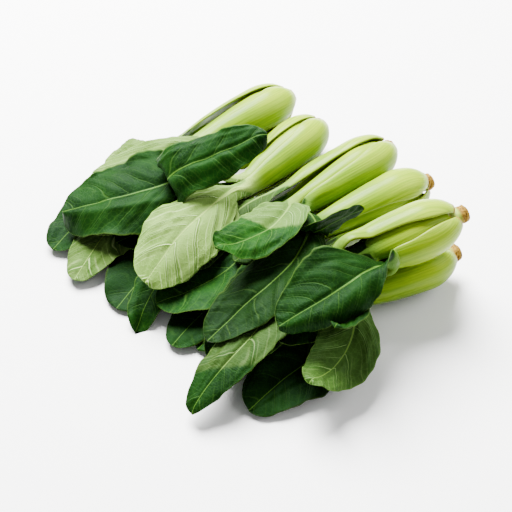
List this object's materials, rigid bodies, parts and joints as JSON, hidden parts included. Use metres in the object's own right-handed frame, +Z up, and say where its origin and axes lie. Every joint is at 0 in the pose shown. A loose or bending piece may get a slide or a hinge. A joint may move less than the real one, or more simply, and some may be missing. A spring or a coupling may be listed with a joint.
{
  "type": "baby bok choy bunch",
  "caption": "Fresh baby bok choy heads lying side by side and over each other on a surface, with swollen pale green stalks at one side and spread, curled green leaves at the other.",
  "frame": {"origin": "centre of the bunch's box, on the surface that it lies on", "axes": "+Z up from the surface, +Y towards the cut ends of the stalks, -Y towards the leaf tips, +X towards the side where one head lies on another"},
  "size_m": [0.2486, 0.2408, 0.0732],
  "materials": {
    "leaf": "satin, glossier on the dark upper face",
    "stem": "matte, tan on the cut end"
  },
  "bodies": {
    "root": {"head_a_leaf_1": "leaf", "head_a_leaf_2": "leaf", "head_a_leaf_3": "leaf", "head_a_leaf_4": "leaf", "head_a_leaf_5": "leaf", "head_a_leaf_6": "leaf", "head_a_leaf_7": "leaf", "head_a_leaf_8": "leaf", "head_b_leaf_1": "leaf", "head_b_leaf_2": "leaf", "head_b_leaf_3": "leaf", "head_b_leaf_4": "leaf", "head_b_leaf_5": "leaf", "head_b_leaf_6": "leaf", "head_b_leaf_7": "leaf", "head_b_leaf_8": "leaf", "head_c_leaf_1": "leaf", "head_c_leaf_2": "leaf", "head_c_leaf_3": "leaf", "head_c_leaf_4": "leaf", "head_c_leaf_5": "leaf", "head_c_leaf_6": "leaf", "head_c_leaf_7": "leaf", "head_c_leaf_8": "leaf", "head_d_leaf_1": "leaf", "head_d_leaf_2": "leaf", "head_d_leaf_3": "leaf", "head_d_leaf_4": "leaf", "head_d_leaf_5": "leaf", "head_d_leaf_6": "leaf", "head_d_leaf_7": "leaf", "head_d_leaf_8": "leaf", "head_e_leaf_1": "leaf", "head_e_leaf_2": "leaf", "head_e_leaf_3": "leaf", "head_e_leaf_4": "leaf", "head_e_leaf_5": "leaf", "head_e_leaf_6": "leaf", "head_e_leaf_7": "leaf", "head_e_leaf_8": "leaf", "head_f_leaf_1": "leaf", "head_f_leaf_2": "leaf", "head_f_leaf_3": "leaf", "head_f_leaf_4": "leaf", "head_f_leaf_5": "leaf", "head_f_leaf_6": "leaf", "head_f_leaf_7": "leaf", "head_f_leaf_8": "leaf", "head_a_stem": "stem", "head_b_stem": "stem", "head_c_stem": "stem", "head_d_stem": "stem", "head_e_stem": "stem", "head_f_stem": "stem"}
  },
  "joints": []
}
